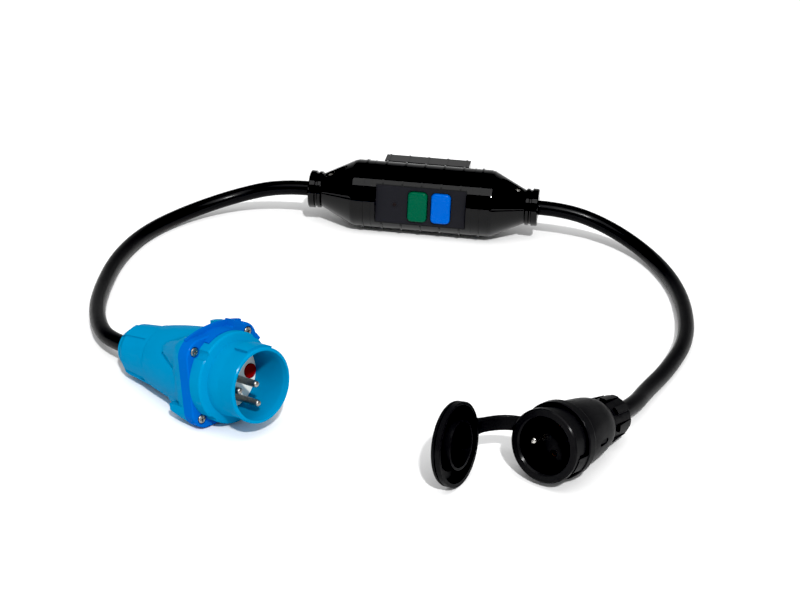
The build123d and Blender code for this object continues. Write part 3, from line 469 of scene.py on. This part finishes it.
def make_lights(scene):
    sun = bpy.data.lights.new("key", "SUN")
    sun.angle, sun.energy = radians(KEY_WIDTH), KEY_STRENGTH
    hang(scene, sun, KEY_TURN, KEY_LIFT, KEY_DISTANCE)
    strip = bpy.data.lights.new("strip", "AREA")
    strip.shape = "RECTANGLE"
    strip.size, strip.size_y, strip.energy = STRIP_WIDTH, STRIP_HEIGHT, STRIP_POWER
    hang(scene, strip, STRIP_TURN, STRIP_LIFT, STRIP_DISTANCE)
    world = bpy.data.worlds.new("studio")
    world.use_nodes = True
    tree = world.node_tree
    tree.nodes.clear()
    rays = Shade(tree).node("ShaderNodeLightPath", output=2)
    direction = Shade(tree).node("ShaderNodeTexCoord", output=0)
    behind = direction.along((0, 1, 0)).between(*BACKDROP_BEHIND)
    low = 1 - direction.along((0, 0, 1)).between(*BACKDROP_FADE)
    backdrop = (1 - rays) * behind * low * BACKDROP
    glow = tree.nodes.new("ShaderNodeBackground")
    feed(glow, {"Color": (1, 1, 1, 1), "Strength": rays * FILL + (backdrop + ROOM_GLOW)})
    output = tree.nodes.new("ShaderNodeOutputWorld")
    tree.links.new(glow.outputs[0], output.inputs[0])
    scene.world = world


class LEAD_OT_cords(bpy.types.Operator):
    """Lays both cords as smooth curves from the device to the plug and the socket"""

    bl_idname = "lead.cords"
    bl_label = "Cords"

    def execute(self, context):
        colours = context.scene.lead_colours
        diameter = context.scene.lead_sizes.cord_diameter
        finish = sheath("cord_sheath", colours.cord)
        on_plug = [nodes[name] for name in names_with("plug_")]
        on_plug += [piece for piece in context.scene.objects if piece.name == "handle_shell"]
        plug_pieces = [piece for piece in on_plug if not piece.hide_render]
        socket_pieces = [nodes[name] for name in names_with("socket_")]
        socket_pieces += [bpy.data.objects["strap"]]
        for name, route, length, far_end, pieces in (
            ("left", LEFT_ROUTE, LEFT_LENGTH, "plug", plug_pieces),
            ("right", RIGHT_ROUTE, RIGHT_LENGTH, "connector", socket_pieces),
        ):
            cord = make_cord(f"cord_{name}", route, diameter, finish)
            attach(cord, "lead")
            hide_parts(f"{name}_cord")
            [part * MM for part in route[0]]
        return {"FINISHED"}


CORD_STEPS, CORD_ROUNDNESS = 24, 8


def make_cord(name, route, diameter, finish):
    """A round cord on one NURBS curve whose control points are the route."""
    line = bpy.data.curves.new(name, "CURVE")
    line.dimensions = "3D"
    spline = line.splines.new("NURBS")
    spline.points.add(len(route) - 1)
    for point, place in zip(spline.points, route):
        point.co = (*(part * MM for part in place), 1)
    spline.order_u = 3
    spline.use_endpoint_u = True
    line.resolution_u = CORD_STEPS
    line.bevel_depth = diameter / 2
    line.bevel_resolution = CORD_ROUNDNESS
    line.use_fill_caps = True
    line.materials.append(finish)
    cord = bpy.data.objects.new(name, line)
    bpy.context.scene.collection.objects.link(cord)
    return cord


# The strap's centre line in plan, from the lid to the socket's band, and the height it runs at
STRAP_ENDS = Vector((85.5, -408.0)), Vector((120.5, -398.8))
STRAP_MIDDLE = Vector((103.5, -392.5))
STRAP_Z = 30.0
STRAP_STEPS = 24
# The step either way, as a share of the strap's length, that gives its direction at a place
STRAP_AHEAD = 0.01
STRAP_SMOOTHING = 2
# The share of the strap at each end that thickens, and how much thicker and taller its ends are
STRAP_FLARE, FLARE_WIDTH, FLARE_HEIGHT = 0.16, 0.9, 0.16
# The beads along the strap's edges: their thickness and their crest's against the strap's own, and
# the distances in from the edge where a bead is full, where it ends and where the strap is plain
BEAD_WIDTH, CREST_WIDTH = 1.35, 0.6
BEAD_TOP, BEAD_FOOT, BEAD_END = 0.5, 1.3, 2.0


class LEAD_OT_strap(bpy.types.Operator):
    """Makes the rubber strap that joins the lid to the socket"""

    bl_idname = "lead.strap"
    bl_label = "Lid strap"

    def execute(self, context):
        sizes = context.scene.lead_sizes
        strap = make_strap(sizes.strap_height / MM / 2, sizes.strap_thickness / MM / 2)
        strap.data.materials.append(bpy.data.materials["satin_rubber"])
        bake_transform(strap)
        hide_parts("lid_strap")
        return {"FINISHED"}


def strap_centre(share):
    """The point in plan at a share of the strap's length, on a smooth bow through its middle."""
    start, end = STRAP_ENDS
    return start * (1 - share) ** 2 + STRAP_MIDDLE * 2 * share * (1 - share) + end * share**2


def make_strap(half_height, half_thickness):
    """A flat strap on edge, its edges beaded, that thickens where it runs into the lid and band."""
    bead, crest = half_thickness * BEAD_WIDTH, half_thickness * CREST_WIDTH
    edge = (
        (crest, half_height),
        (bead, half_height - BEAD_TOP),
        (bead, half_height - BEAD_FOOT),
        (half_thickness, half_height - BEAD_END),
    )
    outline = [*edge, (half_thickness, 0), *[(side, -up) for side, up in reversed(edge)]]
    section = [*outline, *[(-side, up) for side, up in reversed(outline)]]
    shape = bmesh.new()
    rings = []
    for step in range(STRAP_STEPS + 1):
        share = step / STRAP_STEPS
        centre = strap_centre(share)
        before, after = max(0, share - STRAP_AHEAD), min(1, share + STRAP_AHEAD)
        ahead = strap_centre(after) - strap_centre(before)
        sideways = Vector((-ahead.y, ahead.x)).normalized()
        to_end = min(share, 1 - share) / STRAP_FLARE
        growth = max(0, 1 - to_end) ** 2
        flare, rise = 1 + FLARE_WIDTH * growth, 1 + FLARE_HEIGHT * growth
        ring = []
        for side, up in section:
            plan = centre + sideways * side * flare
            ring.append(shape.verts.new((plan.x * MM, plan.y * MM, (STRAP_Z + up * rise) * MM)))
        rings.append(ring)
    skin(shape, rings)
    strap = finished_mesh("strap", shape)
    smooth = strap.modifiers.new("smooth", "SUBSURF")
    smooth.levels = smooth.render_levels = STRAP_SMOOTHING
    return strap


# The device leans back by this angle, and its buttons press along this line
DEVICE_LEAN = 3
PRESS_AXIS = Vector((0, -cos(radians(DEVICE_LEAN)), sin(radians(DEVICE_LEAN))))
SPRING_FEET = {"reset": Vector((-2.9, -13.26, 30.12)), "test": Vector((17.3, -13.26, 30.12))}
SPRING_RADIUS, SPRING_WIRE, SPRING_TURNS, SPRING_HEIGHT = 3.4, 0.4, 3, 5.6
SPRING_STEPS, WIRE_STEPS = 72, 10
SPRING_STEEL = (0.55, 0.55, 0.56)


class LEAD_OT_springs(bpy.types.Operator):
    """Winds the two springs under the buttons"""

    bl_idname = "lead.springs"
    bl_label = "Button springs"

    def execute(self, context):
        steel = plated("spring_steel", SPRING_STEEL, (0, 0, 1), 0.25)
        for name, foot in SPRING_FEET.items():
            spring = make_spring(f"{name}_coil", foot)
            spring.data.materials.append(steel)
            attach(spring, "lead")
            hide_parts(f"{name}_spring")
            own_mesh(spring)
        return {"FINISHED"}


def make_spring(name, foot):
    """A round wire wound on a helix that rises from its foot along the press axis."""
    across = Vector((1, 0, 0))
    upright = PRESS_AXIS.cross(across)
    shape = bmesh.new()
    path, outwards = [], []
    for step in range(SPRING_STEPS + 1):
        share = step / SPRING_STEPS
        turn = 2 * pi * SPRING_TURNS * share
        outward = across * cos(turn) + upright * sin(turn)
        outwards.append(outward)
        path.append((foot + outward * SPRING_RADIUS + PRESS_AXIS * SPRING_HEIGHT * share) * MM)
    rod(shape, path, outwards, SPRING_WIRE)
    return finished_mesh(name, shape)


def skin(shape, rings, closed=False):
    """Joins a row of rings of points with faces and caps both ends, or joins them to each other."""
    following = [*rings[1:], rings[0]] if closed else rings[1:]
    for first, second in zip(rings, following):
        for index in range(len(first)):
            after = (index + 1) % len(first)
            shape.faces.new((first[index], first[after], second[after], second[index]))
    if not closed:
        for ring in (rings[0], rings[-1]):
            shape.faces.new(ring)
    bmesh.ops.recalc_face_normals(shape, faces=shape.faces)


def finished_mesh(name, shape):
    """A smooth object in the scene from a finished shape."""
    mesh = bpy.data.meshes.new(name)
    shape.to_mesh(mesh)
    shape.free()
    for face in mesh.polygons:
        face.use_smooth = True
    made = bpy.data.objects.new(name, mesh)
    bpy.context.scene.collection.objects.link(made)
    return made


UNLIT_LENS = (0.004, 0.001, 0.001)


class LEAD_OT_device(bpy.types.Operator):
    """Finishes the in-line device's shells, label plate, buttons, lens and bushes"""

    bl_idname = "lead.device"
    bl_label = "In-line device"

    def execute(self, context):
        colours = context.scene.lead_colours
        shell = moulding(
            "polished_shell", colours.shell, 0.08, (0.0016, 0.00001), handled=0.04, dust=0.1, gloss=0.26
        )
        dress(shell, "front_shell", "rear_shell")
        plate = moulding("label_plate", colours.plate, 0.46, (0.0003, 0.00002), handled=0.04, gloss=0.1)
        dress(plate, "label_panel")
        for name, node, colour in (
            ("reset_green", "reset_button", colours.reset),
            ("test_blue", "test_button", colours.test),
        ):
            cap = moulding(name, colour, 0.26, (0.0009, 0.00002), handled=0.05, gloss=0.12)
            dress(cap, node)
        lens = moulding("unlit_lens", UNLIT_LENS, 0.1, (0.0008, 0.00001), handled=0.02)
        dress(lens, "indicator_lens")
        rubber = moulding(
            "satin_rubber", colours.rubber, 0.34, (0.0004, 0.00002), handled=0.08, gloss=0.01, coat=0.1
        )
        dress(rubber, "left_cord_bush", "right_cord_bush")
        return {"FINISHED"}


# Mouldings of the works: name, colour, roughness, size and depth of the grain, and their nodes
WORKS = (
    ("board_green", (0.02, 0.16, 0.07), 0.35, (0.0006, 0.00003), ("circuit_board",)),
    ("potted_core", (0.02, 0.02, 0.02), 0.45, (0.0012, 0.00008), ("sensing_toroid",)),
    (
        "relay_case",
        (0.2, 0.2, 0.21),
        0.5,
        (0.0005, 0.00003),
        ("trip_relay", "left_cord_clamp", "right_cord_clamp"),
    ),
    (
        "terminal_white",
        (0.6, 0.6, 0.56),
        0.45,
        (0.0006, 0.00003),
        ("left_terminal_block", "right_terminal_block"),
    ),
    (
        "core_brown",
        (0.16, 0.06, 0.03),
        0.4,
        (0.0005, 0.00002),
        ("inner_leads", "left_cord_tail", "right_cord_tail", "plug_cord_tail", "socket_cord_tail"),
    ),
)
ZINC, BRASS, PIN_NICKEL, EARTH_NICKEL = (
    (0.58, 0.56, 0.53),
    (0.62, 0.44, 0.18),
    (0.40, 0.39, 0.36),
    (0.66, 0.64, 0.60),
)


class LEAD_OT_works(bpy.types.Operator):
    """Finishes the parts inside the device, the plug and the socket, and the device's screws"""

    bl_idname = "lead.works"
    bl_label = "Works and screws"

    def execute(self, context):
        zinc = plated("zinc_plate", ZINC, (0, 0, 1), 0.28)
        dress(zinc, "left_clamp_screws", "right_clamp_screws", "housing_screws")
        for name, colour, roughness, grain, names in WORKS:
            dress(moulding(name, colour, roughness, grain), *names)
        brass = plated("turned_brass", BRASS, tuple(PLUG_FORWARD), 0.3)
        dress(brass, "plug_terminals", "socket_lower_contact", "socket_upper_contact")
        return {"FINISHED"}


class LEAD_OT_plug(bpy.types.Operator):
    """Finishes the plug's casing, flange, handle, nut, pins, carrier and disc"""

    bl_idname = "lead.plug"
    bl_label = "Plug"

    def execute(self, context):
        colours = context.scene.lead_colours
        light = moulding(
            "light_blue", colours.light_blue, 0.3, (0.0005, 0.00001), handled=0.05, gloss=0.0, coat=0.12
        )
        dress(light, "plug_casing", "plug_handle", "plug_gland_nut")
        deep = moulding("deep_blue", colours.deep_blue, 0.32, (0.0006, 0.00002), gloss=0.0, coat=0.12)
        dress(deep, "plug_flange")
        carrier = moulding("pin_carrier", colours.carrier, 0.45, (0.0005, 0.00004), handled=0.05)
        dress(carrier, "plug_insulator")
        disc = moulding("coding_disc", colours.disc, 0.3, (0.0006, 0.00002), handled=0.05)
        dress(disc, "plug_coding_disc")
        nickel = plated("nickel_pin", PIN_NICKEL, tuple(PLUG_FORWARD), 0.32)
        dress(nickel, "plug_earth_pin", "plug_line_pin", "plug_neutral_pin", "plug_screws")
        rubber = bpy.data.materials["satin_rubber"]
        dress(rubber, "plug_gasket", "plug_cord_seal")
        return {"FINISHED"}


PLUG_TURN = Matrix((PLUG_SIDE, PLUG_UP, PLUG_FORWARD)).transposed().to_4x4()
PLUG_FRAME = Matrix.Translation(PLUG_ORIGIN) @ PLUG_TURN
# The cuts in the plug's handle, in millimetres along the plug's axis and out from it. Widths are
# the radii of round cuts. First the seam round the back, then the slanting groove on each side,
# from its back to its front, with its height at its back and its fall over each millimetre
SEAM_STATION, SEAM_WIDTH, SEAM_STEPS = -63.6, 0.75, 96
BROW_BACK, BROW_FRONT, BROW_TOP, BROW_DROP = -39.5, -22.0, 16.3, 0.37
BROW_WIDTH, BROW_STEPS = 1.0, 14
# Opposite corners of the block that cuts the slit over one foot, each as the place to the side, up
# and along the axis. The other foot's block is its mirror image
SLIT_LOW, SLIT_HIGH = Vector((27.8, -16.0, -25.0)), Vector((34.0, -13.6, -16.0))
# How deep the middle of a round cut lies under the skin, and how far out the rays start that find
# the skin, in metres
CUT_SINK, OUTSIDE = 0.0003, 0.06
# The least share of the handle that sound cuts leave
LEAST_KEPT = 0.98
# The distance within which two points are one, in metres, and the angle of a sharp edge in degrees
WELD, SHARP_EDGE = 1e-7, 28


class LEAD_OT_handle(bpy.types.Operator):
    """Cuts the seam, grooves and slits into a copy of the plug's handle, or leaves the handle whole"""

    bl_idname = "lead.handle"
    bl_label = "Plug handle's cuts"

    def execute(self, context):
        shell = nodes["plug_handle"]
        cutter = make_cutter(shell)
        handle = bpy.data.objects.new("handle_shell", welded(shell))
        handle.matrix_world = shell.matrix_world
        context.scene.collection.objects.link(handle)
        cut = handle.modifiers.new("cut", "BOOLEAN")
        cut.object = cutter
        cut.solver = "EXACT"
        shaped = handle.evaluated_get(context.evaluated_depsgraph_get())
        handle.data = bpy.data.meshes.new_from_object(shaped)
        handle.modifiers.clear()
        bpy.data.objects.remove(cutter)
        share_kept = volume(handle.data) / volume(shell.data)
        if not LEAST_KEPT < share_kept < 1:
            bpy.data.objects.remove(handle)
            self.report({"WARNING"}, f"the handle stays uncut: the cuts left {share_kept:.3f} of it")
            return {"FINISHED"}
        for face in handle.data.polygons:
            face.use_smooth = True
        handle.data.set_sharp_from_angle(angle=radians(SHARP_EDGE))
        handle.modifiers.new("shading", "WEIGHTED_NORMAL").keep_sharp = True
        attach(handle, "lead")
        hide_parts("plug_handle")
        return {"FINISHED"}


def welded(piece):
    """A copy of a piece's mesh with its split edges joined, because a cut needs a closed skin."""
    mesh = piece.data.copy()
    shape = bmesh.new()
    shape.from_mesh(mesh)
    bmesh.ops.remove_doubles(shape, verts=shape.verts, dist=WELD)
    shape.to_mesh(mesh)
    shape.free()
    if "custom_normal" in mesh.attributes:
        mesh.attributes.remove(mesh.attributes["custom_normal"])
    return mesh


def volume(mesh):
    """The volume that a mesh encloses."""
    shape = bmesh.new()
    shape.from_mesh(mesh)
    enclosed = shape.calc_volume()
    shape.free()
    return enclosed


def plug_place(side, up, station):
    """A place in the scene from a place in the plug's own frame, in millimetres."""
    return PLUG_FRAME @ (Vector((side, up, station)) * MM)


def make_cutter(shell):
    """What the handle's cuts take away: a ring, two bent rods on the surface and two blocks."""
    shape = bmesh.new()
    turns = [2 * pi * step / SEAM_STEPS for step in range(SEAM_STEPS)]
    outwards = [PLUG_SIDE * cos(turn) + PLUG_UP * sin(turn) for turn in turns]
    middle = plug_place(0, 0, SEAM_STATION)
    path = [surface_place(shell, middle, outward) for outward in outwards]
    rod(shape, path, outwards, SEAM_WIDTH, closed=True)
    for side in (-1, 1):
        outward = PLUG_SIDE * side
        shares = [step / BROW_STEPS for step in range(BROW_STEPS + 1)]
        path = [surface_place(shell, brow_place(share), outward) for share in shares]
        rod(shape, path, [outward] * len(path), BROW_WIDTH)
        low, high = SLIT_LOW * MM, SLIT_HIGH * MM
        centre, size = (low + high) / 2, high - low
        centre.x *= side
        block = PLUG_FRAME @ Matrix.Translation(centre) @ Matrix.Diagonal((*size, 1))
        bmesh.ops.create_cube(shape, size=1, matrix=block)
    bmesh.ops.recalc_face_normals(shape, faces=shape.faces)
    return finished_mesh("cutter", shape)


def brow_place(share):
    """The place in the handle's middle plane beside a share of its slanting groove."""
    along = (BROW_FRONT - BROW_BACK) * share
    return plug_place(0, BROW_TOP - BROW_DROP * along, BROW_BACK + along)


def surface_place(shell, start, outward):
    """Where the handle's skin is outward from a place in its middle, less a cut's depth."""
    to_shell = shell.matrix_world.inverted()
    far = to_shell @ (start + outward * OUTSIDE)
    hit, place, _, _ = shell.ray_cast(far, to_shell.to_3x3() @ -outward)
    if not hit:
        raise ValueError("a cut misses the handle")
    return shell.matrix_world @ place - outward * CUT_SINK


def rod(shape, path, outwards, radius, closed=False):
    """A round rod of a radius in millimetres along a path in metres, capped or as a closed ring."""
    rings = []
    for index, (middle, outward) in enumerate(zip(path, outwards)):
        ahead = path[min(index + 1, len(path) - 1)] - path[max(index - 1, 0)]
        across = ahead.cross(outward).normalized()
        angles = [2 * pi * step / WIRE_STEPS for step in range(WIRE_STEPS)]
        sides = [(outward * cos(angle) + across * sin(angle)) * radius * MM for angle in angles]
        rings.append([shape.verts.new(middle + side) for side in sides])
    skin(shape, rings, closed)


class LEAD_OT_socket(bpy.types.Operator):
    """Finishes the socket, its nut, its lid and its earth pin"""

    bl_idname = "lead.socket"
    bl_label = "Socket and lid"

    def execute(self, context):
        rubber = bpy.data.materials["satin_rubber"]
        dress(rubber, "socket_lid_band", "socket_lid", "socket_front", "socket_rear_body")
        dress(rubber, "socket_cord_seal", "socket_gland_nut", "socket_insert")
        nickel = plated("nickel_earth", EARTH_NICKEL, tuple(SOCKET_FORWARD), 0.16)
        dress(nickel, "socket_earth_pin")
        return {"FINISHED"}


STEPS = (
    LEAD_OT_stage,
    LEAD_OT_device,
    LEAD_OT_plug,
    LEAD_OT_handle,
    LEAD_OT_socket,
    LEAD_OT_works,
    LEAD_OT_springs,
    LEAD_OT_strap,
    LEAD_OT_cords,
)


class LEAD_PT_panel(bpy.types.Panel):
    """Steps and settings of the extension lead"""

    bl_idname = "LEAD_PT_panel"
    bl_label = "Extension lead"
    bl_space_type = "VIEW_3D"
    bl_region_type = "UI"
    bl_category = "Lead"

    def draw(self, context):
        column = self.layout.column(align=True)
        for step in STEPS:
            column.operator(step.bl_idname)
        for group in (context.scene.lead_sizes, context.scene.lead_colours):
            column = self.layout.column(align=True)
            for name in type(group).__annotations__:
                column.prop(group, name)


CLASSES = (LeadSizes, LeadColours, *STEPS, LEAD_PT_panel)


def register():
    for made in CLASSES:
        bpy.utils.register_class(made)
    bpy.types.Scene.lead_sizes = bpy.props.PointerProperty(type=LeadSizes)
    bpy.types.Scene.lead_colours = bpy.props.PointerProperty(type=LeadColours)


def unregister():
    del bpy.types.Scene.lead_sizes
    del bpy.types.Scene.lead_colours
    for made in reversed(CLASSES):
        bpy.utils.unregister_class(made)


def main():
    register()
    bpy.ops.lead.stage()
    bpy.ops.lead.device()
    bpy.ops.lead.plug()
    bpy.ops.lead.handle()
    bpy.ops.lead.socket()
    bpy.ops.lead.works()
    bpy.ops.lead.springs()
    bpy.ops.lead.strap()
    bpy.ops.lead.cords()


if __name__ == "__main__":
    main()
